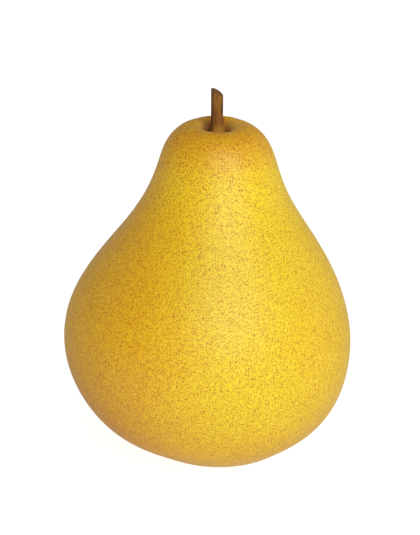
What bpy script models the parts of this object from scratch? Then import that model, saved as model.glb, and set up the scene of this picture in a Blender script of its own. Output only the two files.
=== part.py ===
"""A whole ripe pear at its real size: the fruit, its woody stem and the dried calyx in the dimple under it.

Metres, +Z up. The pear stands on the plane z = 0, with the middle of its girth on the Z axis.
The crown, the stem and the calyx all sit a little to the +X side, because the -X cheek is the fuller one.
"""

import math

import bmesh
import bpy
import numpy as np
from mathutils import Vector

MM = 0.001

# Driving dimensions of the fruit
GIRTH_RADIUS = 36.0 * MM
GIRTH_HEIGHT = 30.0 * MM
CROWN_HEIGHT = 85.5 * MM
CROWN_RADIUS = 5.8 * MM
FOOT_INNER_RADIUS = 9.2 * MM
FOOT_OUTER_RADIUS = 12.6 * MM
BASIN_DEPTH = 4.2 * MM
BASIN_FLOOR_RADIUS = 3.6 * MM
CAVITY_DEPTH = 2.6 * MM
CAVITY_FLOOR_RADIUS = 2.7 * MM

# How the core line leans: upright at LEAN_HEIGHT, towards +X above and below it
LEAN_HEIGHT = 37.0 * MM
CROWN_LEAN = 2.7 * MM
CROWN_LEAN_REACH = 21.0 * MM
FOOT_LEAN = 3.4 * MM

# The cheeks are a little fuller on one diagonal, and the crown dips towards +X
CHEEK_FULLNESS = 0.006
CROWN_TILT = 0.029
CROWN_TILT_START = 60.0 * MM

# Driving dimensions of the stem
STEM_RADIUS = 1.48 * MM
STEM_FOOT_RADIUS = 2.15 * MM
STEM_TIP_HEIGHT = 94.8 * MM
STEM_CUT_FROM_AXIS = 0.35 * MM
STEM_CUT_ANGLE = math.radians(42.0)

# Driving dimensions of the calyx
CALYX_RADIUS = 4.0 * MM
CALYX_HEIGHT = 2.6 * MM
CALYX_BASE_RADIUS = 1.7 * MM
CALYX_NECK_RADIUS = 2.2 * MM
CALYX_NECK_HEIGHT = 1.0 * MM
CALYX_WALL = 0.5 * MM
SEPAL_COUNT = 5
SEPAL_REACH = 0.3

# Space kept between pieces that touch, and how finely they are turned
GAP = 0.3 * MM
FRUIT_STEPS = 48
STEM_STEPS = 20
CALYX_STEPS = 40
CURVE_STEPS = 3
WELD_DISTANCE = 0.001 * MM

SKIN = ("skin", (0.84, 0.55, 0.05, 1.0), 0.45)
STEM_WOOD = ("stem_wood", (0.27, 0.14, 0.04, 1.0), 0.75)
DRIED_CALYX = ("dried_calyx", (0.12, 0.07, 0.03, 1.0), 0.9)


def clear_scene():
    """Removes the objects that a new file opens with."""
    for item in list(bpy.data.objects):
        bpy.data.objects.remove(item, do_unlink=True)


def make_material(name, colour, roughness):
    """A plain finish for one sub-part."""
    material = bpy.data.materials.new(name)
    material.use_nodes = True
    shader = material.node_tree.nodes["Principled BSDF"]
    shader.inputs["Base Color"].default_value = colour
    shader.inputs["Roughness"].default_value = roughness
    shader.inputs["Metallic"].default_value = 0.0
    material.diffuse_color = colour
    return material


def spline_through(points, steps):
    """A smooth curve through (radius, height) points, with the given steps between each two."""
    knots = np.array(points, float)
    gaps = np.hypot(*np.diff(knots, axis=0).T)
    count = len(knots)
    system = np.eye(count)
    bends = np.zeros((count, 2))
    for i in range(1, count - 1):
        before, after = gaps[i - 1], gaps[i]
        system[i, i - 1] = before
        system[i, i] = 2 * (before + after)
        system[i, i + 1] = after
        bends[i] = 6 * ((knots[i + 1] - knots[i]) / after - (knots[i] - knots[i - 1]) / before)
    curvature = np.linalg.solve(system, bends)
    curve = []
    for i, gap in enumerate(gaps):
        start_slope = knots[i] / gap - curvature[i] * gap / 6
        end_slope = knots[i + 1] / gap - curvature[i + 1] * gap / 6
        for step in range(steps):
            along = gap * step / steps
            left = gap - along
            bend = (curvature[i] * left**3 + curvature[i + 1] * along**3) / (6 * gap)
            curve.append(tuple(bend + start_slope * left + end_slope * along))
    curve.append(tuple(knots[-1]))
    return curve


def lean_at(height):
    """How far the core line stands off its upright point, towards +X."""
    rise = height - LEAN_HEIGHT
    if rise < 0:
        return FOOT_LEAN * (rise / LEAN_HEIGHT) ** 2
    return CROWN_LEAN * (1 - math.exp(-((rise / CROWN_LEAN_REACH) ** 2)))


def core_shift(height):
    """The core line's place on X at a height, with the girth's own ring centred on the Z axis."""
    return lean_at(height) - lean_at(GIRTH_HEIGHT)


def fruit_outline():
    """The fruit's turned outline, from the middle of the basin underneath to the middle of the stem cavity."""
    basin = [
        (BASIN_FLOOR_RADIUS, BASIN_DEPTH),
        (5.6 * MM, 3.3 * MM),
        (7.4 * MM, 1.1 * MM),
        (FOOT_INNER_RADIUS, 0.0),
    ]
    side = [
        (FOOT_OUTER_RADIUS, 0.0),
        (18.1 * MM, 2.5 * MM),
        (26.3 * MM, 8.0 * MM),
        (33.0 * MM, 17.0 * MM),
        (GIRTH_RADIUS, GIRTH_HEIGHT),
        (33.4 * MM, 42.0 * MM),
        (26.0 * MM, 55.0 * MM),
        (18.1 * MM, 67.0 * MM),
        (14.6 * MM, 76.0 * MM),
        (12.0 * MM, 82.0 * MM),
        (CROWN_RADIUS, CROWN_HEIGHT),
        (3.6 * MM, CROWN_HEIGHT - 1.1 * MM),
        (CAVITY_FLOOR_RADIUS, CROWN_HEIGHT - CAVITY_DEPTH),
    ]
    middle_below = (0.0, BASIN_DEPTH)
    middle_above = (0.0, CROWN_HEIGHT - CAVITY_DEPTH)
    basin_curve = spline_through(basin, CURVE_STEPS)
    side_curve = spline_through(side, CURVE_STEPS)
    return [middle_below] + basin_curve + side_curve + [middle_above]


def turned_mesh(outline, steps):
    """Spins a (radius, height) outline once round the Z axis into a closed mesh."""
    mesh = bmesh.new()
    points = [mesh.verts.new((radius, 0.0, height)) for radius, height in outline]
    edges = [mesh.edges.new(pair) for pair in zip(points, points[1:])]
    bmesh.ops.spin(
        mesh,
        geom=points + edges,
        cent=(0.0, 0.0, 0.0),
        axis=(0.0, 0.0, 1.0),
        angle=math.tau,
        steps=steps,
        use_merge=True,
    )
    bmesh.ops.remove_doubles(mesh, verts=mesh.verts, dist=WELD_DISTANCE)
    return mesh


def lean_with_core(mesh):
    """Shifts every point along X with the core line at its height."""
    for point in mesh.verts:
        point.co.x += core_shift(point.co.z)


def finish_object(mesh, name, finish, smooth_angle):
    """Turns a finished mesh into a named object with its own material."""
    bmesh.ops.recalc_face_normals(mesh, faces=mesh.faces)
    data = bpy.data.meshes.new(name)
    mesh.to_mesh(data)
    mesh.free()
    data.shade_smooth()
    data.set_sharp_from_angle(angle=smooth_angle)
    data.materials.append(make_material(*finish))
    item = bpy.data.objects.new(name, data)
    bpy.context.scene.collection.objects.link(item)
    return item


def make_fruit():
    """The flesh and skin as one solid: round belly, short neck, stem cavity on top and calyx basin below."""
    mesh = turned_mesh(fruit_outline(), FRUIT_STEPS)
    for point in mesh.verts:
        angle = math.atan2(point.co.y, point.co.x)
        fullness = 1 + CHEEK_FULLNESS * math.sin(2 * angle)
        dip_share = max(0.0, (point.co.z - CROWN_TILT_START) / (CROWN_HEIGHT - CROWN_TILT_START))
        point.co.z -= CROWN_TILT * point.co.x * dip_share
        point.co.x *= fullness
        point.co.y *= fullness
    lean_with_core(mesh)
    return finish_object(mesh, "fruit", SKIN, math.radians(60))


def make_stem():
    """The woody stem: a shaft that flares into the cavity, cut level on one side and slanting on the other."""
    foot = CROWN_HEIGHT - CAVITY_DEPTH + GAP
    outline = [
        (0.0, foot),
        (STEM_FOOT_RADIUS, foot),
        (1.95 * MM, foot + 0.8 * MM),
        (1.58 * MM, foot + 2.6 * MM),
        (STEM_RADIUS, foot + 5.2 * MM),
        (STEM_RADIUS, STEM_TIP_HEIGHT),
        (0.0, STEM_TIP_HEIGHT),
    ]
    mesh = turned_mesh(outline, STEM_STEPS)
    cut_direction = Vector((math.sin(STEM_CUT_ANGLE), 0.0, math.cos(STEM_CUT_ANGLE)))
    bmesh.ops.bisect_plane(
        mesh,
        geom=mesh.verts[:] + mesh.edges[:] + mesh.faces[:],
        dist=WELD_DISTANCE,
        plane_co=(-STEM_CUT_FROM_AXIS, 0.0, STEM_TIP_HEIGHT),
        plane_no=cut_direction,
        clear_outer=True,
    )
    bmesh.ops.holes_fill(mesh, edges=[edge for edge in mesh.edges if edge.is_boundary])
    bmesh.ops.translate(mesh, verts=mesh.verts, vec=(core_shift(CROWN_HEIGHT), 0.0, 0.0))
    return finish_object(mesh, "stem", STEM_WOOD, math.radians(40))


def make_calyx():
    """The dried calyx: a thin five-lobed cup that opens downwards in the basin."""
    top = BASIN_DEPTH - GAP
    rim = top - CALYX_HEIGHT
    neck = top - CALYX_NECK_HEIGHT
    outline = [
        (0.0, top),
        (CALYX_BASE_RADIUS, top),
        (CALYX_NECK_RADIUS, neck),
        (CALYX_RADIUS, rim + CALYX_WALL / 2),
        (CALYX_RADIUS - CALYX_WALL / 2, rim),
        (CALYX_NECK_RADIUS - CALYX_WALL, neck - CALYX_WALL),
        (CALYX_BASE_RADIUS - CALYX_WALL, top - CALYX_WALL),
        (0.0, top - CALYX_WALL),
    ]
    mesh = turned_mesh(outline, CALYX_STEPS)
    for point in mesh.verts:
        radius = math.hypot(point.co.x, point.co.y)
        angle = math.atan2(point.co.y, point.co.x)
        lobe_share = max(0.0, (radius - CALYX_BASE_RADIUS) / (CALYX_RADIUS - CALYX_BASE_RADIUS))
        reach = 1 + SEPAL_REACH * lobe_share * math.cos(SEPAL_COUNT * angle)
        point.co.x *= reach
        point.co.y *= reach
    bmesh.ops.translate(mesh, verts=mesh.verts, vec=(core_shift(top), 0.0, 0.0))
    return finish_object(mesh, "calyx", DRIED_CALYX, math.radians(50))


clear_scene()
make_fruit()
make_stem()
make_calyx()
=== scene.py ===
"""The looks of one ripe pear: speckled yellow skin, a cut woody stem and a dried calyx underneath.

Metres, +Z up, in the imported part's own frame, with the pear's front towards -Y. The fruit's main sizes and
its lean repeat the construction's own.
"""

import math
import random

import bmesh
import bpy
import numpy as np
from mathutils import Matrix, Vector, noise


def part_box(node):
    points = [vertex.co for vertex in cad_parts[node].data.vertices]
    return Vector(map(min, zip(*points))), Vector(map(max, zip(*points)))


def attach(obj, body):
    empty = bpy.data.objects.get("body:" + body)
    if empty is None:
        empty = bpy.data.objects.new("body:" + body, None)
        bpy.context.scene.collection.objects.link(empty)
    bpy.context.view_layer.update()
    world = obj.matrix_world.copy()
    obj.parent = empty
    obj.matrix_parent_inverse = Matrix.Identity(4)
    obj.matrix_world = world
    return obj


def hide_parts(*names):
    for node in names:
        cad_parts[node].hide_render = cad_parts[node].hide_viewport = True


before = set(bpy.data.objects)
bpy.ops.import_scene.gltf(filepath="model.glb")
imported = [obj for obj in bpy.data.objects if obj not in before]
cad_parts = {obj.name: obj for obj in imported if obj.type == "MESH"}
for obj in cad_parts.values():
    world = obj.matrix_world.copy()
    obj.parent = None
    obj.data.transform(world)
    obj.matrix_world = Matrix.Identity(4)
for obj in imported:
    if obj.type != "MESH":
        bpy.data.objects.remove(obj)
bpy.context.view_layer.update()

MM = 0.001

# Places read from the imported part
STEM_LOW, STEM_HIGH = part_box("stem")
CALYX_LOW, CALYX_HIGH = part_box("calyx")
STEM_AXIS_X = (STEM_LOW.x + STEM_HIGH.x) / 2
CALYX_AXIS_X = (CALYX_LOW.x + CALYX_HIGH.x) / 2

# The fruit, as the construction has it
GIRTH_RADIUS = 36.0 * MM
GIRTH_HEIGHT = 30.0 * MM
CROWN_HEIGHT = 85.5 * MM
CROWN_RADIUS = 5.8 * MM
BASIN_DEPTH = 4.2 * MM
LEAN_HEIGHT = 37.0 * MM
CROWN_LEAN = 2.7 * MM
CROWN_LEAN_REACH = 21.0 * MM
FOOT_LEAN = 3.4 * MM
CHEEK_FULLNESS = 0.006
CROWN_TILT = 0.029
CROWN_TILT_START = 60.0 * MM

# How finely pieces are turned, and the room that the swells need at the girth
FRUIT_STEPS = 120
CURVE_STEPS = 7
WELD_DISTANCE = 0.001 * MM
GIRTH_ROOM = 0.02 * MM

# In what follows, a pair of sizes says where a change starts and where it is complete.
# Soft swells over the flesh, which leave the foot and the crown alone
SWELL_SIZE = 17.0 * MM
SWELL_HEIGHT = 0.16 * MM
SWELLS_START = (0.5 * MM, 9.0 * MM)
SWELLS_END = (76.0 * MM, 83.0 * MM)
SWELL_LEAST_RADIUS = 6.0 * MM

# Shallow ribs round the foot
RIB_COUNT = 5
RIB_TURN = 0.5
RIB_HEIGHT = 0.35 * MM
RIBS_START = (0.3 * MM, 4.0 * MM)
RIBS_END = (6.0 * MM, 26.0 * MM)
RIBS_OUTWARDS_FROM = (10.0 * MM, 16.0 * MM)

# Small folds round the stem, with a few broad ones under them
FOLD_COUNT = 9
FOLD_CROWDING = 1.7
FOLD_HEIGHT = 0.07 * MM
BROAD_FOLD_COUNT = 4
BROAD_FOLD_TURN = 1.0
BROAD_FOLD_SHARE = 0.6
FOLDS_START = (80.0 * MM, 85.0 * MM)
FOLDS_OUTWARDS_FROM = (1.0 * MM, 3.5 * MM)
FOLDS_OUTWARDS_TO = (6.0 * MM, 11.0 * MM)

# The stem cavity: filled in front of the stem, drawn out behind it, and higher at its back rim
CAVITY_LOWEST = 80.0 * MM
CROWN_BACK_RISE = 0.045
FILL_WIDTH = 0.6
FILL_SHARE = 0.8
FILL_BELOW_RIM = 0.3 * MM
FILL_START = (80.0 * MM, 82.0 * MM)
FILL_OUTWARDS_TO = (2.6 * MM, 5.0 * MM)
BACK_STRETCH = 0.35
STRETCH_OUTWARDS_FROM = (1.2 * MM, 2.5 * MM)
STRETCH_OUTWARDS_TO = (3.8 * MM, 7.0 * MM)

# The stem, which goes down into the flesh. Its waves and ridges are shares of its radius
STEM_RADIUS = 1.48 * MM
STEM_STEPS = 56
STEM_CURVE_STEPS = 5
STEM_ROOT = 0.9 * MM
STEM_SPARE = 1.0 * MM
STEM_SHIFT = -0.2 * MM
STEM_CORE_RADIUS = 0.5 * MM
WAVE_HEIGHT = 0.035
WAVE_CROWDING = 1.8
WAVE_LENGTH = 7 * MM
WAVE_START = (4, 2)
RIDGE_HEIGHT = 0.030
RIDGE_CROWDING = 6.5
RIDGE_LENGTH = 16 * MM
RIDGE_START = (1, 7)

# The stem's cuts: where they lie, which way they face, and the number of the end grain among its materials
CUT_FROM_AXIS = 0.35 * MM
CUT_DROP = 0.53 * MM
END_GRAIN = 1
GENTLE_CUT = (math.sin(math.radians(24)), -0.08, math.cos(math.radians(24)))
STEEP_CUT = (math.sin(math.radians(31)), -0.10, math.cos(math.radians(31)))
STEEP_CUT_LIFT = 0.15 * MM
CUT_RIM_ROUNDING = 0.09 * MM
STEM_SHARP_ANGLE = math.radians(35)

# The dry sepals underneath, each with a length, curl and twist of its own between two limits
CUP_STEPS = 40
CUP_SUNK = 0.15 * MM
SEPAL_COUNT = 5
SEPAL_LENGTH_STEPS = 10
SEPAL_WIDTH_STEPS = 6
SEPAL_UNEVEN_TURN = 0.12
SEPAL_LENGTHS = (3.0 * MM, 3.7 * MM)
SEPAL_CURLS = (0.5, 1.1)
SEPAL_TWISTS = (-0.5, 0.5)
SEPAL_START = 1.75 * MM
SEPAL_HALF_WIDTH = 1.25 * MM
SEPAL_TIP_HALF_WIDTH = 0.12 * MM
SEPAL_TAPER = 0.7
SEPAL_THICKNESS = 0.14 * MM
CURL_SHORTENING = 0.22
CURL_LIFT = 0.9 * MM
SEPAL_ROOT_DROP = 0.85 * MM
SEPAL_SAG = 1.35 * MM
SEPAL_SAG_TURN = 2.0
HOLLOW_DEPTH = 0.45 * MM
HOLLOW_LOST_AT_TIP = 0.5
TWIST_LIFT = 0.3 * MM
RUFFLE_HEIGHT = 0.16 * MM
RUFFLES_ALONG = 4
RUFFLES_ACROSS = 1.5
RUFFLE_VARIETY = 3.1

# The withered stamens in the cup
STAMEN_COUNT = 18
STAMEN_SIDES = 5
STAMEN_TURN = 2.4
STAMEN_LENGTHS = (1.1 * MM, 1.7 * MM)
STAMEN_SPREADS = (0.1 * MM, 0.8 * MM)
STAMEN_BENDS = (-0.4 * MM, 0.4 * MM)
STAMEN_NEAREST = 0.35 * MM
STAMEN_RING = 0.95 * MM
STAMEN_ROOT_DROP = 0.1 * MM
STAMEN_RADIUS = 0.055 * MM
KNOB_RADIUS = 0.12 * MM
STAMEN_TIP_RADIUS = 0.02 * MM

# Places that the skin's colours are laid round
BLUSH_MIDDLE = (-31 * MM, -8 * MM, 8 * MM)
CROWN_MIDDLE = (STEM_AXIS_X, 0, CROWN_HEIGHT)
BASIN_MIDDLE = (CALYX_AXIS_X, 0, 3.6 * MM)

# The floor, the backdrop and the lamps
STAGE_RADIUS = 3.0
WHITE = (1, 1, 1, 1)
BLACK = (0, 0, 0, 1)
FLOOR_GREY = (0.32, 0.32, 0.32, 1)
FLOOR_GLOW = 0.9
BACKDROP_GLOW = 1.0
LIGHT_ALL_ROUND = 0.2
LAMP_AIM = (0, 0, 50.0 * MM)
LAMP_DISTANCE = 1.1
KEY_SIZE = (1.0, 1.1)
SIDE_SIZE = (0.8, 0.8)
KEY_POWER = 13.3
RIGHT_POWER = 2.3
LEFT_POWER = 2.4

# The camera; the picture's height fills the sensor's longer side
VIEW_DISTANCE = 0.75
VIEW_ELEVATION = math.radians(20.0)
VIEW_AIM = (0.65 * MM, 2.1 * MM, 47.7 * MM)
VIEW_FIELD_HEIGHT = 133.55 * MM
SENSOR = 36.0


# ---------------------------------------------------------------- shapes

def spline_through(points, steps):
    """A natural cubic spline through (radius, height) points, with the given steps between each two."""
    knots = np.array(points, float)
    gaps = np.hypot(*np.diff(knots, axis=0).T)
    count = len(knots)
    system = np.eye(count)
    bends = np.zeros((count, 2))
    for i in range(1, count - 1):
        before = gaps[i - 1]
        after = gaps[i]
        system[i, i - 1] = before
        system[i, i] = 2 * (before + after)
        system[i, i + 1] = after
        bends[i] = 6 * ((knots[i + 1] - knots[i]) / after - (knots[i] - knots[i - 1]) / before)
    curvature = np.linalg.solve(system, bends)
    curve = []
    for i, gap in enumerate(gaps):
        start_slope = knots[i] / gap - curvature[i] * gap / 6
        end_slope = knots[i + 1] / gap - curvature[i + 1] * gap / 6
        for step in range(steps):
            along = gap * step / steps
            left = gap - along
            bend = (curvature[i] * left**3 + curvature[i + 1] * along**3) / (6 * gap)
            curve.append(tuple(bend + start_slope * left + end_slope * along))
    curve.append(tuple(knots[-1]))
    return curve


def lean_at(height):
    """How far the core line stands off its upright point, towards +X."""
    rise = height - LEAN_HEIGHT
    if rise < 0:
        return FOOT_LEAN * (rise / LEAN_HEIGHT) ** 2
    return CROWN_LEAN * (1 - math.exp(-((rise / CROWN_LEAN_REACH) ** 2)))


def core_shift(height):
    """The core line's place on X at a height, with the girth's own ring centred on the Z axis."""
    return lean_at(height) - lean_at(GIRTH_HEIGHT)


def smooth_share(value, start, end):
    """0 before start and 1 after end, with a soft change between."""
    share = min(1.0, max(0.0, (value - start) / (end - start)))
    return share * share * (3 - 2 * share)


def turned(outline, steps):
    """Spins a (radius, height) outline once round the Z axis into a closed mesh."""
    mesh = bmesh.new()
    points = [mesh.verts.new((radius, 0.0, height)) for radius, height in outline]
    edges = [mesh.edges.new(pair) for pair in zip(points, points[1:])]
    bmesh.ops.spin(
        mesh, geom=points + edges, cent=(0, 0, 0), axis=(0, 0, 1), angle=math.tau, steps=steps, use_merge=True
    )
    bmesh.ops.remove_doubles(mesh, verts=mesh.verts, dist=WELD_DISTANCE)
    bmesh.ops.recalc_face_normals(mesh, faces=mesh.faces)
    return mesh


def add_turned_to(mesh, addition, turn):
    """Turns one mesh about the Z axis and moves everything in it into another."""
    bmesh.ops.rotate(addition, verts=addition.verts, cent=(0, 0, 0), matrix=Matrix.Rotation(turn, 3, "Z"))
    carrier = bpy.data.meshes.new("carrier")
    addition.to_mesh(carrier)
    addition.free()
    mesh.from_mesh(carrier)
    bpy.data.meshes.remove(carrier)


def finish_piece(mesh, name, materials, subdivisions=0, sharp_angle=None):
    """Turns a finished mesh into a smooth piece with its materials, riding on the part's one body."""
    data = bpy.data.meshes.new(name)
    mesh.to_mesh(data)
    mesh.free()
    data.shade_smooth()
    if sharp_angle is not None:
        data.set_sharp_from_angle(angle=sharp_angle)
    for material in materials:
        data.materials.append(material)
    piece = bpy.data.objects.new(name, data)
    bpy.context.scene.collection.objects.link(piece)
    if subdivisions:
        finer = piece.modifiers.new("finer", "SUBSURF")
        finer.levels = subdivisions
        finer.render_levels = subdivisions
    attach(piece, "root")
    return piece


def fruit_outline():
    """The turned outline, from the middle of the basin underneath to the middle of the stem cavity."""
    knots = [
        (0.0, BASIN_DEPTH),
        (2.0 * MM, BASIN_DEPTH),
        (3.9 * MM, 4.0 * MM),
        (5.9 * MM, 2.9 * MM),
        (7.6 * MM, 1.0 * MM),
        (9.6 * MM, 0.12 * MM),
        (11.0 * MM, 0.02 * MM),
        (12.8 * MM, 0.18 * MM),
        (18.1 * MM, 2.5 * MM),
        (26.3 * MM, 8.0 * MM),
        (33.0 * MM, 17.0 * MM),
        (GIRTH_RADIUS - GIRTH_ROOM, GIRTH_HEIGHT),
        (33.4 * MM, 42.0 * MM),
        (26.0 * MM, 55.0 * MM),
        (18.1 * MM, 67.0 * MM),
        (14.6 * MM, 76.0 * MM),
        (12.0 * MM, 82.0 * MM),
        (CROWN_RADIUS, CROWN_HEIGHT),
        (4.8 * MM, CROWN_HEIGHT - 0.2 * MM),
        (3.8 * MM, CROWN_HEIGHT - 0.85 * MM),
        (2.95 * MM, CROWN_HEIGHT - 1.9 * MM),
        (2.3 * MM, CROWN_HEIGHT - 2.9 * MM),
        (1.2 * MM, CROWN_HEIGHT - 3.3 * MM),
        (0.0, CROWN_HEIGHT - 3.3 * MM),
    ]
    return [(max(radius, 0.0), height) for radius, height in spline_through(knots, CURVE_STEPS)]


def swell_at(place, angle, radius):
    """How far the flesh stands out at a place: soft swells all over, and shallow ribs round the foot."""
    swell = noise.noise(place / SWELL_SIZE) * SWELL_HEIGHT
    swell *= smooth_share(place.z, *SWELLS_START) * (1 - smooth_share(place.z, *SWELLS_END))
    rib_share = smooth_share(place.z, *RIBS_START) * (1 - smooth_share(place.z, *RIBS_END))
    rib_share *= smooth_share(radius, *RIBS_OUTWARDS_FROM)
    return swell + math.cos(RIB_COUNT * angle + RIB_TURN) * RIB_HEIGHT / 2 * rib_share


def fold_at(height, angle, radius):
    """How far the folds round the stem lift the skin."""
    share = smooth_share(height, *FOLDS_START) * smooth_share(radius, *FOLDS_OUTWARDS_FROM)
    share *= 1 - smooth_share(radius, *FOLDS_OUTWARDS_TO)
    small = math.cos(FOLD_COUNT * angle + FOLD_CROWDING * math.sin(angle))
    broad = math.cos(BROAD_FOLD_COUNT * angle + BROAD_FOLD_TURN)
    return (small + BROAD_FOLD_SHARE * broad) * FOLD_HEIGHT * share


def filled_height(height, angle, radius):
    """The height of a point once the stem cavity is filled in front of the stem, nearly to its rim."""
    off_front = (angle + math.pi / 2 + math.pi) % math.tau - math.pi
    share = math.exp(-((off_front / FILL_WIDTH) ** 2))
    share *= (1 - smooth_share(radius, *FILL_OUTWARDS_TO)) * smooth_share(height, *FILL_START)
    return height + share * FILL_SHARE * (CROWN_HEIGHT - FILL_BELOW_RIM - height)


def back_stretch(radius):
    """How much further back the rear wall of the stem cavity stands."""
    share = smooth_share(radius, *STRETCH_OUTWARDS_FROM) * (1 - smooth_share(radius, *STRETCH_OUTWARDS_TO))
    return 1 + BACK_STRETCH * share


def make_fruit(material):
    """The fruit: a turned pear, leaned and tilted, with its swells, ribs, folds and uneven stem cavity."""
    mesh = turned(fruit_outline(), FRUIT_STEPS)
    for point in mesh.verts:
        x, y, height = point.co
        angle = math.atan2(y, x)
        radius = math.hypot(x, y)
        swell = swell_at(point.co, angle, radius)
        fold = fold_at(height, angle, radius)
        tilt_share = max(0.0, (height - CROWN_TILT_START) / (CROWN_HEIGHT - CROWN_TILT_START))
        height = filled_height(height, angle, radius)
        if y > 0 and height > CAVITY_LOWEST:
            y *= back_stretch(radius)
        fullness = 1 + CHEEK_FULLNESS * math.sin(2 * angle)
        scale = fullness * (1 + swell / max(radius, SWELL_LEAST_RADIUS))
        point.co.x = x * scale + core_shift(height)
        point.co.y = y * scale
        point.co.z = height + (CROWN_BACK_RISE * y - CROWN_TILT * x) * tilt_share + fold
    piece = finish_piece(mesh, "pear_body", [material], subdivisions=1)
    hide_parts("fruit")


def cut_off(mesh, point, normal, material_index):
    """Cuts away what lies beyond a plane, and closes the cut with a face of the given material."""
    geometry = mesh.verts[:] + mesh.edges[:] + mesh.faces[:]
    bmesh.ops.bisect_plane(
        mesh,
        geom=geometry,
        dist=WELD_DISTANCE,
        plane_co=point,
        plane_no=Vector(normal).normalized(),
        clear_outer=True,
    )
    rim = [edge for edge in mesh.edges if edge.is_boundary]
    for face in bmesh.ops.holes_fill(mesh, edges=rim)["faces"]:
        face.material_index = material_index


def stem_outline():
    """The stem's turned outline: swollen where it grows out, and a little longer than the cut stem."""
    root = STEM_LOW.z - STEM_ROOT
    top = STEM_HIGH.z + STEM_SPARE
    knots = [
        (2.30 * MM, root),
        (2.20 * MM, STEM_LOW.z),
        (1.92 * MM, STEM_LOW.z + 1.0 * MM),
        (1.62 * MM, STEM_LOW.z + 2.4 * MM),
        (1.50 * MM, STEM_LOW.z + 4.0 * MM),
        (STEM_RADIUS, STEM_LOW.z + 7.0 * MM),
        (STEM_RADIUS, STEM_LOW.z + 10.0 * MM),
        (STEM_RADIUS, top),
    ]
    return [(0.0, root)] + spline_through(knots, STEM_CURVE_STEPS) + [(0.0, top)]


def make_stem(bark, end_grain):
    """The woody stem, ridged along its length, with two slanting cuts at its tip and rounded cut rims."""
    mesh = turned(stem_outline(), STEM_STEPS)
    for point in mesh.verts:
        x, y, height = point.co
        radius = math.hypot(x, y)
        if radius < STEM_CORE_RADIUS:
            continue
        around = Vector((x / radius, y / radius, 0))
        wave = noise.noise(around * WAVE_CROWDING + Vector((*WAVE_START, height / WAVE_LENGTH)))
        ridge = noise.noise(around * RIDGE_CROWDING + Vector((*RIDGE_START, height / RIDGE_LENGTH)))
        swollen = 1 + (WAVE_HEIGHT * wave + RIDGE_HEIGHT * ridge)
        point.co.x = x * swollen
        point.co.y = y * swollen
    tip = STEM_HIGH.z - CUT_DROP
    cut_off(mesh, (0, STEM_RADIUS, tip), GENTLE_CUT, END_GRAIN)
    cut_off(mesh, (-CUT_FROM_AXIS, STEM_RADIUS, tip + STEEP_CUT_LIFT), STEEP_CUT, END_GRAIN)
    rims = [edge for edge in mesh.edges if len({face.material_index for face in edge.link_faces}) > 1]
    bmesh.ops.bevel(
        mesh,
        geom=rims,
        offset=CUT_RIM_ROUNDING,
        segments=2,
        profile=0.5,
        affect="EDGES",
        material=-1,
        clamp_overlap=True,
    )
    bmesh.ops.translate(mesh, verts=mesh.verts, vec=(STEM_AXIS_X + STEM_SHIFT, 0, 0))
    piece = finish_piece(mesh, "cut_stem", [bark, end_grain], sharp_angle=STEM_SHARP_ANGLE)
    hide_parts("stem")


def make_cup(top):
    """The short thick cup that the sepals grow from, open downwards."""
    outline = [
        (0.0, top),
        (1.9 * MM, top),
        (2.15 * MM, top - 0.7 * MM),
        (2.25 * MM, top - 1.25 * MM),
        (2.05 * MM, top - 1.3 * MM),
        (1.85 * MM, top - 0.75 * MM),
        (1.5 * MM, top - 0.35 * MM),
        (0.0, top - 0.3 * MM),
    ]
    return turned(outline, CUP_STEPS)


def make_leaf(number, top, length, curl, twist):
    """One sepal along +X: narrow, hollow along its middle, spreading and then curling back at its tip."""
    leaf = bmesh.new()
    bmesh.ops.create_grid(leaf, x_segments=SEPAL_LENGTH_STEPS, y_segments=SEPAL_WIDTH_STEPS, size=1.0)
    for point in leaf.verts:
        along = (point.co.x + 1) / 2
        across = point.co.y
        half_width = SEPAL_HALF_WIDTH * (1 - along) ** SEPAL_TAPER + SEPAL_TIP_HALF_WIDTH
        reach = SEPAL_START + length * along * (1 - CURL_SHORTENING * curl * along)
        drop = SEPAL_ROOT_DROP + SEPAL_SAG * math.sin(along * SEPAL_SAG_TURN) - CURL_LIFT * curl * along**2
        hollow = HOLLOW_DEPTH * across**2 * (1 - HOLLOW_LOST_AT_TIP * along)
        twisted = TWIST_LIFT * twist * across * along
        ruffle_place = Vector((along * RUFFLES_ALONG, across * RUFFLES_ACROSS, number * RUFFLE_VARIETY))
        lift = hollow + twisted + RUFFLE_HEIGHT * noise.noise(ruffle_place)
        point.co = Vector((reach, across * half_width, top - drop + lift))
    bmesh.ops.solidify(leaf, geom=leaf.faces[:], thickness=SEPAL_THICKNESS)
    return leaf


def make_sepals(material):
    """Five dry sepals round a short cup, spread out in the basin."""
    top = CALYX_HIGH.z + CUP_SUNK
    mesh = make_cup(top)
    rng = random.Random(5)
    for number in range(SEPAL_COUNT):
        turn = math.tau * number / SEPAL_COUNT + rng.uniform(-SEPAL_UNEVEN_TURN, SEPAL_UNEVEN_TURN)
        length = rng.uniform(*SEPAL_LENGTHS)
        curl = rng.uniform(*SEPAL_CURLS)
        twist = rng.uniform(*SEPAL_TWISTS)
        add_turned_to(mesh, make_leaf(number, top, length, curl, twist), turn)
    bmesh.ops.recalc_face_normals(mesh, faces=mesh.faces)
    bmesh.ops.translate(mesh, verts=mesh.verts, vec=(CALYX_AXIS_X, 0, 0))
    piece = finish_piece(mesh, "dried_sepals", [material], subdivisions=1)
    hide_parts("calyx")


def make_thread(length):
    """One straight stamen, hanging down from the origin, with a small knob near its end."""
    outline = [
        (0.0, 0.0),
        (STAMEN_RADIUS, 0.0),
        (STAMEN_RADIUS, -0.2 * length),
        (STAMEN_RADIUS, -0.4 * length),
        (KNOB_RADIUS, -0.6 * length),
        (KNOB_RADIUS, -0.8 * length),
        (STAMEN_TIP_RADIUS, -length),
        (0.0, -length),
    ]
    return turned(outline, STAMEN_SIDES)


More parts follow.
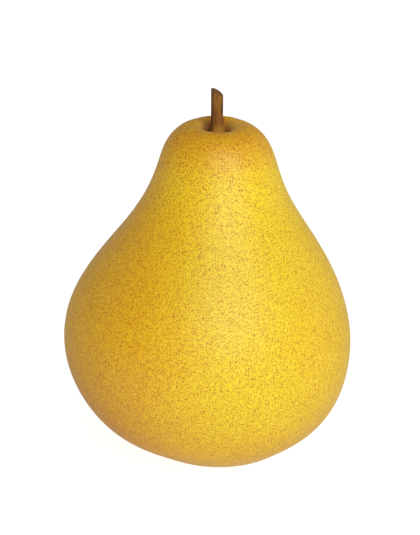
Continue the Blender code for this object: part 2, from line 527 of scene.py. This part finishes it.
def make_stamens(material):
    """The withered stamens in the cup, each a bent thread."""
    rng = random.Random(11)
    mesh = bmesh.new()
    top = CALYX_HIGH.z - STAMEN_ROOT_DROP
    for number in range(STAMEN_COUNT):
        start = STAMEN_NEAREST + STAMEN_RING * math.sqrt(number / STAMEN_COUNT)
        spread = rng.uniform(*STAMEN_SPREADS)
        length = rng.uniform(*STAMEN_LENGTHS)
        bend = rng.uniform(*STAMEN_BENDS)
        stamen = make_thread(length)
        for point in stamen.verts:
            bent_share = (point.co.z / length) ** 2
            point.co += Vector((start + spread * bent_share, bend * bent_share, top))
        add_turned_to(mesh, stamen, number * STAMEN_TURN)
    bmesh.ops.recalc_face_normals(mesh, faces=mesh.faces)
    bmesh.ops.translate(mesh, verts=mesh.verts, vec=(CALYX_AXIS_X, 0, 0))
    finish_piece(mesh, "stamens", [material])


# ---------------------------------------------------------------- materials

class Nodes:
    """One material's nodes, which read the piece's own coordinates."""

    def __init__(self, name):
        self.material = bpy.data.materials.new(name)
        self.material.use_nodes = True
        self.tree = self.material.node_tree
        self.tree.nodes.clear()
        output = self.new("ShaderNodeOutputMaterial")
        self.shader = self.new("ShaderNodeBsdfPrincipled")
        self.link(self.shader.outputs["BSDF"], output.inputs["Surface"])
        self.coordinates = self.new("ShaderNodeTexCoord").outputs["Object"]

    def new(self, kind):
        """Adds a node of a kind."""
        return self.tree.nodes.new(kind)

    def link(self, source, target):
        """Joins a node's result to a socket."""
        self.tree.links.new(source, target)

    def feed(self, socket, value):
        """Gives a socket either a node's result or a plain value."""
        if isinstance(value, bpy.types.NodeSocket):
            self.link(value, socket)
        else:
            socket.default_value = value

    def math(self, operation, first, second):
        """The result of one operation on two numbers."""
        node = self.new("ShaderNodeMath")
        node.operation = operation
        self.feed(node.inputs[0], first)
        self.feed(node.inputs[1], second)
        return node.outputs[0]

    def plus(self, first, second):
        """The sum of two numbers."""
        return self.math("ADD", first, second)

    def minus(self, first, second):
        """The first number less the second."""
        return self.math("SUBTRACT", first, second)

    def times(self, first, second):
        """The product of two numbers."""
        return self.math("MULTIPLY", first, second)

    def ramp(self, value, start, end, low=0.0, high=1.0):
        """A soft change from low to high as value goes from start to end."""
        node = self.new("ShaderNodeMapRange")
        node.interpolation_type = "SMOOTHSTEP"
        self.feed(node.inputs["Value"], value)
        node.inputs["From Min"].default_value = start
        node.inputs["From Max"].default_value = end
        node.inputs["To Min"].default_value = low
        node.inputs["To Max"].default_value = high
        return node.outputs["Result"]

    def mix(self, share, under, over, blend="MIX"):
        """One colour laid over another by a share.

        The node's sockets for colours are 6 and 7, after those for numbers and vectors, and their result is 2.
        """
        node = self.new("ShaderNodeMix")
        node.data_type = "RGBA"
        node.blend_type = blend
        self.feed(node.inputs[0], share)
        self.feed(node.inputs[6], under)
        self.feed(node.inputs[7], over)
        return node.outputs[2]

    def cover(self, under, over, share, strength, blend="MIX"):
        """One colour laid over another by a share, up to a strength."""
        return self.mix(self.times(share, strength), under, over, blend)

    def noise(self, size, detail, roughness=0.5, vector=None):
        """Soft random patches of about a size."""
        node = self.new("ShaderNodeTexNoise")
        self.link(self.coordinates if vector is None else vector, node.inputs["Vector"])
        node.inputs["Scale"].default_value = 1.0 / size
        node.inputs["Detail"].default_value = detail
        node.inputs["Roughness"].default_value = roughness
        return node.outputs["Fac"]

    def dots(self, size, edge, heart, channel, none, full):
        """Dots scattered a size apart, fading in from edge to heart, each as strong as its own chance."""
        cells = self.new("ShaderNodeTexVoronoi")
        self.link(self.coordinates, cells.inputs["Vector"])
        cells.inputs["Scale"].default_value = 1.0 / size
        colour = self.new("ShaderNodeSeparateColor")
        self.link(cells.outputs["Color"], colour.inputs[0])
        chance = self.ramp(colour.outputs[channel], none, full)
        return self.times(self.ramp(cells.outputs["Distance"], edge, heart), chance)

    def place(self, move=(0, 0, 0), scale=(1, 1, 1)):
        """The piece's coordinates, scaled and then moved."""
        node = self.new("ShaderNodeMapping")
        self.link(self.coordinates, node.inputs["Vector"])
        node.inputs["Location"].default_value = move
        node.inputs["Scale"].default_value = scale
        return node.outputs["Vector"]

    def distance(self, centre):
        """The distance from a point."""
        node = self.new("ShaderNodeVectorMath")
        node.operation = "DISTANCE"
        self.link(self.coordinates, node.inputs[0])
        node.inputs[1].default_value = centre
        return node.outputs["Value"]

    def off_axis(self, axis_x, depth_share=1.0):
        """The distance from an upright line at axis_x, with the front-to-back part counted by its share."""
        flat = self.new("ShaderNodeVectorMath")
        flat.operation = "MULTIPLY"
        self.link(self.place(move=(-axis_x, 0, 0)), flat.inputs[0])
        flat.inputs[1].default_value = (1, depth_share, 0)
        length = self.new("ShaderNodeVectorMath")
        length.operation = "LENGTH"
        self.link(flat.outputs[0], length.inputs[0])
        return length.outputs["Value"]

    def axes(self):
        """The piece's coordinates one by one, as X, Y and Z."""
        node = self.new("ShaderNodeSeparateXYZ")
        self.link(self.coordinates, node.inputs[0])
        return node.outputs

    def bump(self, height, distance, strength):
        """Fine relief that follows a height."""
        node = self.new("ShaderNodeBump")
        node.inputs["Distance"].default_value = distance
        node.inputs["Strength"].default_value = strength
        self.link(height, node.inputs["Height"])
        return node.outputs["Normal"]

    def finish(self, colour, specular):
        """Gives the shader its colour and its constant gloss level, and hands over the material."""
        self.link(colour, self.shader.inputs["Base Color"])
        self.shader.inputs["Specular IOR Level"].default_value = specular
        return self.material


def skin_ground(nodes, axes):
    """Clear yellow in soft patches; redder and darker round to -X, the side away from the key softbox, partly
    the cheek's own colour and partly painted shade; warmer and darker on the crown and the foot, partly real
    colour and partly painted shade; redder still low on -X.
    """
    clear_yellow = (0.755, 0.575, 0.011, 1)
    orange_and_painted_shade = (0.745, 0.435, 0.006, 1)
    deep_yellow = (0.755, 0.470, 0.010, 1)
    crown_amber_and_shade = (0.66, 0.335, 0.004, 1)
    foot_amber_and_shade = (0.73, 0.38, 0.006, 1)
    red_blush = (0.52, 0.185, 0.006, 1)
    patches = nodes.times(nodes.minus(nodes.noise(8 * MM, 3), 0.5), 16 * MM)
    side = nodes.plus(axes["X"], patches)
    # Redder, darker yellow towards -X, the side away from the key softbox: partly the cheek's own warmer
    # colour, partly painted shade.
    ground = nodes.mix(nodes.ramp(side, 6 * MM, -20 * MM), clear_yellow, orange_and_painted_shade)
    ground = nodes.cover(ground, deep_yellow, nodes.ramp(side, 14 * MM, 34 * MM), 0.45)
    # Darker amber over the crown: partly real russet, partly painted shade on the top, which the lamps barely
    # reach.
    ground = nodes.cover(ground, crown_amber_and_shade, nodes.ramp(axes["Z"], 73 * MM, 84.5 * MM), 0.80)
    # Darker amber towards the foot: partly the skin's own colour, partly painted shade on the underside.
    ground = nodes.cover(ground, foot_amber_and_shade, nodes.ramp(axes["Z"], 26 * MM, 3 * MM), 0.65)
    blush = nodes.ramp(nodes.distance(BLUSH_MIDDLE), 34 * MM, 6 * MM)
    return nodes.cover(ground, red_blush, blush, 0.62)


def skin_dots(nodes, axes, ground, grain):
    """Close-set grain, small dots and a few bigger dark ones, all thinning out towards the stem."""
    grain_tint = (0.69, 0.41, 0.1, 1)
    dot_tint = (0.55, 0.27, 0.1, 1)
    spot_brown = (0.22, 0.08, 0.006, 1)
    crowding = nodes.ramp(nodes.noise(5 * MM, 3), 0.3, 0.7, 0.85, 1.0)
    dotted = nodes.times(crowding, nodes.ramp(nodes.distance(CROWN_MIDDLE), 2.6 * MM, 5.5 * MM))
    dots = nodes.dots(0.72 * MM, edge=0.46, heart=0.22, channel="Red", none=0.3, full=0.7)
    spots = nodes.dots(2.4 * MM, edge=0.15, heart=0.08, channel="Green", none=0.4, full=0.9)
    dot_strength = nodes.ramp(axes["Z"], 66 * MM, 82 * MM, 0.58, 0.78)
    coloured = nodes.cover(ground, grain_tint, nodes.times(grain, dotted), 0.76, "MULTIPLY")
    coloured = nodes.cover(coloured, dot_tint, nodes.times(dots, dotted), dot_strength, "MULTIPLY")
    return nodes.cover(coloured, spot_brown, nodes.times(spots, dotted), 0.5)


def skin_crown(nodes, axes, coloured):
    """Bare tan skin over the crown; in the stem cavity beside and behind the stem, red-brown that is partly
    real russet and partly painted shade, darkest as painted shade in the crevice round the stem.
    """
    tan = (0.57, 0.31, 0.024, 1)
    # The two cavity colours: a red-brown that is partly real russet and partly painted shade, and a near-black
    # painted crevice shade.
    rust_and_cavity_shade = (0.30, 0.10, 0.006, 1)
    painted_crevice_shade = (0.11, 0.035, 0.003, 1)
    bare = nodes.ramp(nodes.distance(CROWN_MIDDLE), 7.0 * MM, 3.8 * MM)
    coloured = nodes.cover(coloured, tan, bare, 0.8)
    hollow = nodes.off_axis(STEM_AXIS_X + STEM_SHIFT, depth_share=0.58)
    on_top = nodes.ramp(axes["Z"], 78 * MM, 80 * MM)
    open_side = nodes.times(on_top, nodes.ramp(axes["Y"], -2.6 * MM, -1.2 * MM, 0.15, 1.0))
    # Red-brown in the stem cavity: partly real russet, partly painted shade in the hollow.
    rust_and_shade_share = nodes.times(nodes.ramp(hollow, 4.7 * MM, 2.7 * MM), open_side)
    coloured = nodes.cover(coloured, rust_and_cavity_shade, rust_and_shade_share, 0.92)
    # Near-black ring right round the stem: painted shade in the crevice.
    deep = nodes.times(nodes.ramp(hollow, 2.7 * MM, 1.9 * MM), open_side)
    return nodes.cover(coloured, painted_crevice_shade, deep, 0.92)


def skin_basin(nodes, coloured):
    """Corky russet round the dried flower underneath, with an uneven edge."""
    pale_cork = (0.34, 0.17, 0.05, 1)
    dark_cork = (0.20, 0.09, 0.03, 1)
    off_middle = nodes.plus(nodes.distance(BASIN_MIDDLE), nodes.times(nodes.noise(1.6 * MM, 4), 3 * MM))
    russet = nodes.mix(nodes.noise(0.5 * MM, 4), pale_cork, dark_cork)
    return nodes.cover(coloured, russet, nodes.ramp(off_middle, 8.5 * MM, 5.0 * MM), 0.8)


def skin_material():
    """Golden skin, close-set with fine red-brown dots, with fine pores, a soft gloss and a little sheen."""
    nodes = Nodes("speckled_skin")
    axes = nodes.axes()
    grain = nodes.ramp(nodes.noise(0.36 * MM, 1.5, 0.6), 0.42, 0.60)
    coloured = skin_dots(nodes, axes, skin_ground(nodes, axes), grain)
    coloured = skin_basin(nodes, skin_crown(nodes, axes, coloured))
    nodes.shader.inputs["Sheen Weight"].default_value = 0.14
    nodes.shader.inputs["Sheen Roughness"].default_value = 0.35
    nodes.shader.inputs["Sheen Tint"].default_value = (1.0, 0.95, 0.78, 1)
    rough = nodes.plus(nodes.ramp(nodes.noise(3 * MM, 3), 0.3, 0.7, 0.40, 0.46), nodes.times(grain, 0.10))
    nodes.link(rough, nodes.shader.inputs["Roughness"])
    pores = nodes.minus(nodes.noise(0.5 * MM, 3), nodes.times(grain, 0.5))
    nodes.link(nodes.bump(pores, 0.04 * MM, 0.5), nodes.shader.inputs["Normal"])
    return nodes.finish(coloured, 0.42)


def bark_material():
    """Brown bark in fine upright streaks, olive towards the fruit, paler near the cut, and darkened towards -X
    with painted shade.
    """
    dark_bark = (0.080, 0.027, 0.003, 1)
    warm_bark = (0.215, 0.072, 0.005, 1)
    tan_bark = (0.215, 0.090, 0.006, 1)
    red_bark = (0.195, 0.048, 0.005, 1)
    pale_bark = (0.255, 0.105, 0.007, 1)
    fleck_brown = (0.07, 0.024, 0.004, 1)
    olive = (0.330, 0.155, 0.004, 1)
    # A darker grey-brown, laid on as painted shade on the stem's -X side.
    painted_shade_bark = (0.075, 0.034, 0.009, 1)
    nodes = Nodes("stem_bark")
    axes = nodes.axes()
    streaks = nodes.noise(0.42 * MM, 3, 0.6, vector=nodes.place(scale=(1, 1, 0.10)))
    broad = nodes.noise(0.9 * MM, 2, 0.5, vector=nodes.place(move=(3 * MM, 0, 0), scale=(1, 1, 0.14)))
    flecks = nodes.noise(0.3 * MM, 2, 0.5, vector=nodes.place(scale=(1, 1, 0.4)))
    brown = nodes.mix(nodes.ramp(streaks, 0.42, 0.58), dark_bark, warm_bark)
    brown = nodes.cover(brown, tan_bark, nodes.ramp(broad, 0.50, 0.64), 0.7)
    brown = nodes.cover(brown, red_bark, nodes.ramp(broad, 0.48, 0.36), 0.6)
    near_cut = nodes.ramp(axes["Z"], STEM_LOW.z + 6.0 * MM, STEM_HIGH.z - 2.0 * MM, 0.0, 0.35)
    brown = nodes.mix(near_cut, brown, pale_bark)
    brown = nodes.cover(brown, fleck_brown, nodes.ramp(flecks, 0.62, 0.72), 0.6)
    uneven_height = nodes.plus(axes["Z"], nodes.times(streaks, 1.2 * MM))
    near_fruit = nodes.ramp(uneven_height, STEM_LOW.z + 4.4 * MM, STEM_LOW.z + 1.8 * MM)
    brown = nodes.cover(brown, olive, near_fruit, 0.85)
    # Darker grey-brown towards -X, the side away from the key softbox: painted shade.
    shade_side = nodes.ramp(axes["X"], STEM_AXIS_X - 0.9 * MM, STEM_AXIS_X - 1.6 * MM)
    brown = nodes.cover(brown, painted_shade_bark, shade_side, 0.6)
    nodes.link(nodes.ramp(streaks, 0.3, 0.7, 0.72, 0.55), nodes.shader.inputs["Roughness"])
    nodes.link(nodes.bump(streaks, 0.12 * MM, 0.6), nodes.shader.inputs["Normal"])
    return nodes.finish(brown, 0.3)


def end_grain_material():
    """The cut faces: dry brown wood, with a greyer ring just inside the bark and a darker pith."""
    dark_wood = (0.13, 0.055, 0.010, 1)
    pale_wood = (0.22, 0.100, 0.018, 1)
    grey_ring = (0.085, 0.056, 0.032, 1)
    pith = (0.12, 0.055, 0.02, 1)
    nodes = Nodes("stem_end_grain")
    grain = nodes.noise(0.22 * MM, 3, 0.6)
    off_middle = nodes.off_axis(STEM_AXIS_X)
    wood = nodes.mix(nodes.ramp(grain, 0.35, 0.65), dark_wood, pale_wood)
    wood = nodes.cover(wood, grey_ring, nodes.ramp(off_middle, 1.1 * MM, 1.38 * MM), 0.9)
    wood = nodes.cover(wood, pith, nodes.ramp(off_middle, 0.45 * MM, 0.2 * MM), 0.6)
    nodes.shader.inputs["Roughness"].default_value = 0.85
    nodes.link(nodes.bump(grain, 0.08 * MM, 0.7), nodes.shader.inputs["Normal"])
    return nodes.finish(wood, 0.2)


def sepal_material():
    """Dry dark-brown sepals with fine veins and lighter worn patches."""
    dark_vein = (0.055, 0.026, 0.012, 1)
    dry_brown = (0.17, 0.085, 0.035, 1)
    worn_tan = (0.26, 0.15, 0.07, 1)
    nodes = Nodes("dry_sepal")
    veins = nodes.noise(0.35 * MM, 4, 0.65)
    worn = nodes.ramp(nodes.noise(1.1 * MM, 3), 0.52, 0.68)
    brown = nodes.mix(nodes.ramp(veins, 0.35, 0.65), dark_vein, dry_brown)
    brown = nodes.cover(brown, worn_tan, worn, 0.6)
    nodes.shader.inputs["Roughness"].default_value = 0.88
    nodes.link(nodes.bump(veins, 0.12 * MM, 0.8), nodes.shader.inputs["Normal"])
    return nodes.finish(brown, 0.2)


def stamen_material():
    """Withered stamens, dark threads with slightly lighter ends."""
    dark_thread = (0.045, 0.022, 0.012, 1)
    brown_thread = (0.12, 0.06, 0.028, 1)
    pale_end = (0.20, 0.12, 0.06, 1)
    nodes = Nodes("withered_stamen")
    grain = nodes.noise(0.3 * MM, 3, 0.6)
    near_end = nodes.ramp(nodes.axes()["Z"], CALYX_HIGH.z - 0.9 * MM, CALYX_HIGH.z - 1.4 * MM)
    brown = nodes.mix(near_end, nodes.mix(grain, dark_thread, brown_thread), pale_end)
    nodes.shader.inputs["Roughness"].default_value = 0.9
    nodes.link(nodes.bump(grain, 0.05 * MM, 0.6), nodes.shader.inputs["Normal"])
    return nodes.finish(brown, 0.2)


# ---------------------------------------------------------------- stage

def stage_piece(mesh, name, colour, glow):
    """Adds a matt stage piece that gives off a little light of its own, so that it stays pale all over."""
    data = bpy.data.meshes.new(name)
    mesh.to_mesh(data)
    mesh.free()
    piece = bpy.data.objects.new(name, data)
    bpy.context.scene.collection.objects.link(piece)
    material = bpy.data.materials.new(name)
    material.use_nodes = True
    shader = material.node_tree.nodes["Principled BSDF"]
    shader.inputs["Base Color"].default_value = colour
    shader.inputs["Roughness"].default_value = 1.0
    shader.inputs["Specular IOR Level"].default_value = 0.0
    shader.inputs["Emission Color"].default_value = WHITE
    shader.inputs["Emission Strength"].default_value = glow
    data.materials.append(material)
    return piece


def make_stage():
    """A wide pale floor that throws light back up, inside a pale dome that only shows behind the pear."""
    floor_mesh = bmesh.new()
    bmesh.ops.create_circle(floor_mesh, cap_ends=True, segments=96, radius=STAGE_RADIUS)
    floor = stage_piece(floor_mesh, "pale_floor", FLOOR_GREY, FLOOR_GLOW)
    floor.visible_glossy = False
    dome_mesh = bmesh.new()
    bmesh.ops.create_uvsphere(dome_mesh, u_segments=48, v_segments=24, radius=STAGE_RADIUS)
    dome = stage_piece(dome_mesh, "pale_backdrop", BLACK, BACKDROP_GLOW)
    dome.visible_diffuse = False
    dome.visible_glossy = False
    dome.visible_shadow = False


def add_softbox(name, azimuth, elevation, size, power, mirrored):
    """An area light that faces the pear. Azimuth 0 is the camera's side, and it grows towards +X."""
    light = bpy.data.lights.new(name, "AREA")
    light.shape = "RECTANGLE"
    light.size = size[0]
    light.size_y = size[1]
    light.energy = power
    lamp = bpy.data.objects.new(name, light)
    lamp.visible_glossy = mirrored
    bpy.context.scene.collection.objects.link(lamp)
    around = math.radians(azimuth)
    up = math.radians(elevation)
    away = Vector((math.sin(around) * math.cos(up), -math.cos(around) * math.cos(up), math.sin(up)))
    lamp.location = Vector(LAMP_AIM) + away * LAMP_DISTANCE
    lamp.rotation_euler = (-away).to_track_quat("-Z", "Y").to_euler()


def make_lights():
    """A broad softbox high at the front right, a weak lamp behind each side, and a little light all round.

    The skin mirrors only the softbox.
    """
    world = bpy.data.worlds.new("studio")
    world.use_nodes = True
    background = world.node_tree.nodes["Background"]
    background.inputs["Color"].default_value = WHITE
    background.inputs["Strength"].default_value = LIGHT_ALL_ROUND
    bpy.context.scene.world = world
    add_softbox("key", azimuth=24, elevation=34, size=KEY_SIZE, power=KEY_POWER, mirrored=True)
    add_softbox("right_side", azimuth=112, elevation=15, size=SIDE_SIZE, power=RIGHT_POWER, mirrored=False)
    add_softbox("left_side", azimuth=-122, elevation=15, size=SIDE_SIZE, power=LEFT_POWER, mirrored=False)
    bpy.context.scene.view_settings.view_transform = "Standard"


def make_camera():
    """A long lens in front of the pear that looks a little down on it."""
    camera = bpy.data.cameras.new("camera")
    camera.lens = SENSOR * VIEW_DISTANCE / VIEW_FIELD_HEIGHT
    camera.sensor_width = SENSOR
    viewer = bpy.data.objects.new("camera", camera)
    bpy.context.scene.collection.objects.link(viewer)
    back = Vector((0, -math.cos(VIEW_ELEVATION), math.sin(VIEW_ELEVATION)))
    viewer.location = Vector(VIEW_AIM) + back * VIEW_DISTANCE
    viewer.rotation_euler = (-back).to_track_quat("-Z", "Y").to_euler()
    bpy.context.scene.camera = viewer


make_stage()
make_lights()
make_camera()
make_fruit(skin_material())
make_stem(bark_material(), end_grain_material())
make_sepals(sepal_material())
make_stamens(stamen_material())
